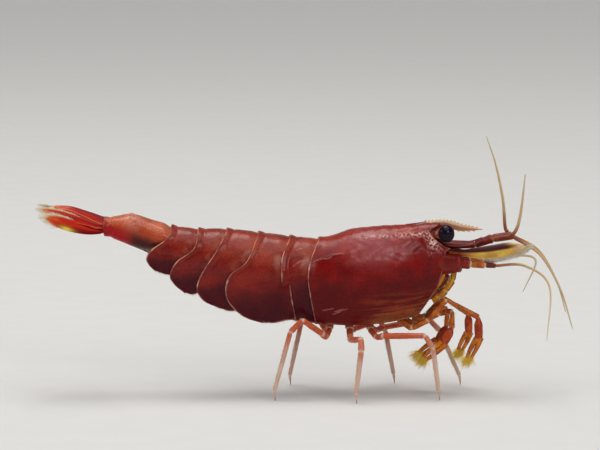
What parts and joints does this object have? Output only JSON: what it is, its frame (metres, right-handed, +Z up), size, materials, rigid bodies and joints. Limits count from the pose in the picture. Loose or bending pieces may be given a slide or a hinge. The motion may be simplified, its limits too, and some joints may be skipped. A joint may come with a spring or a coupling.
{
  "type": "aquarium shrimp, red cherry shrimp",
  "caption": "Life-size still model of a standing red cherry shrimp, with a shell of overlapping plates, feelers, small claws, walking legs and a fan tail.",
  "frame": {"origin": "on the floor, under the middle of the whole animal with its feelers", "axes": "+X forward to the head, +Y to the animal's left, +Z up"},
  "size_m": [0.0339, 0.0222, 0.0165],
  "materials": {
    "shell": "glossy deep crimson shell, pinker on the back, with pale plate edges",
    "tail_shell": "glossy pinkish orange-red shell",
    "rostrum": "translucent pale yellow and red blade with fine teeth",
    "thorax_floor": "soft orange underside",
    "eye": "very glossy black",
    "eyestalk": "translucent red",
    "feeler_base": "brown-red, translucent at the joints",
    "antenna_scale": "translucent yellow plate with a dark red rib and a pale fringe",
    "mouth_limb": "translucent yellow-orange",
    "feeler": "pale tan, ringed",
    "claw_leg": "orange-red, translucent, with yellow brush tips",
    "walking_leg": "orange-pink near the body, paler towards the foot",
    "swimmeret": "translucent red paddle with a pale fringe",
    "tail_fan": "saturated red blade with a yellow-white fringe"
  },
  "bodies": {
    "root": {"abdomen_1": "shell", "abdomen_2": "shell", "abdomen_3": "shell", "abdomen_4": "shell", "abdomen_5": "shell", "abdomen_6": "tail_shell", "antenna_base_left": "feeler_base", "antenna_base_right": "feeler_base", "antenna_feeler_1_left": "feeler", "antenna_feeler_1_right": "feeler", "antenna_feeler_2_left": "feeler", "antenna_feeler_2_right": "feeler", "antenna_scale_left": "antenna_scale", "antenna_scale_right": "antenna_scale", "antennule_inner_1_left": "feeler", "antennule_inner_1_right": "feeler", "antennule_inner_2_left": "feeler", "antennule_inner_2_right": "feeler", "antennule_left": "feeler_base", "antennule_outer_left": "feeler", "antennule_outer_right": "feeler", "antennule_right": "feeler_base", "carapace": "shell", "cheliped_1_left": "claw_leg", "cheliped_1_right": "claw_leg", "cheliped_2_left": "claw_leg", "cheliped_2_right": "claw_leg", "eye_left": "eye", "eye_right": "eye", "eyestalk_left": "eyestalk", "eyestalk_right": "eyestalk", "leg_3_left": "walking_leg", "leg_3_right": "walking_leg", "leg_4_left": "walking_leg", "leg_4_right": "walking_leg", "leg_5_left": "walking_leg", "leg_5_right": "walking_leg", "maxilliped_left": "mouth_limb", "maxilliped_right": "mouth_limb", "rostrum": "rostrum", "swimmeret_1_left": "swimmeret", "swimmeret_1_right": "swimmeret", "swimmeret_2_left": "swimmeret", "swimmeret_2_right": "swimmeret", "swimmeret_3_left": "swimmeret", "swimmeret_3_right": "swimmeret", "swimmeret_4_left": "swimmeret", "swimmeret_4_right": "swimmeret", "swimmeret_5_left": "swimmeret", "swimmeret_5_right": "swimmeret", "telson": "tail_shell", "thorax": "thorax_floor", "uropod_inner_left": "tail_fan", "uropod_inner_right": "tail_fan", "uropod_outer_left": "tail_fan", "uropod_outer_right": "tail_fan"}
  },
  "joints": []
}
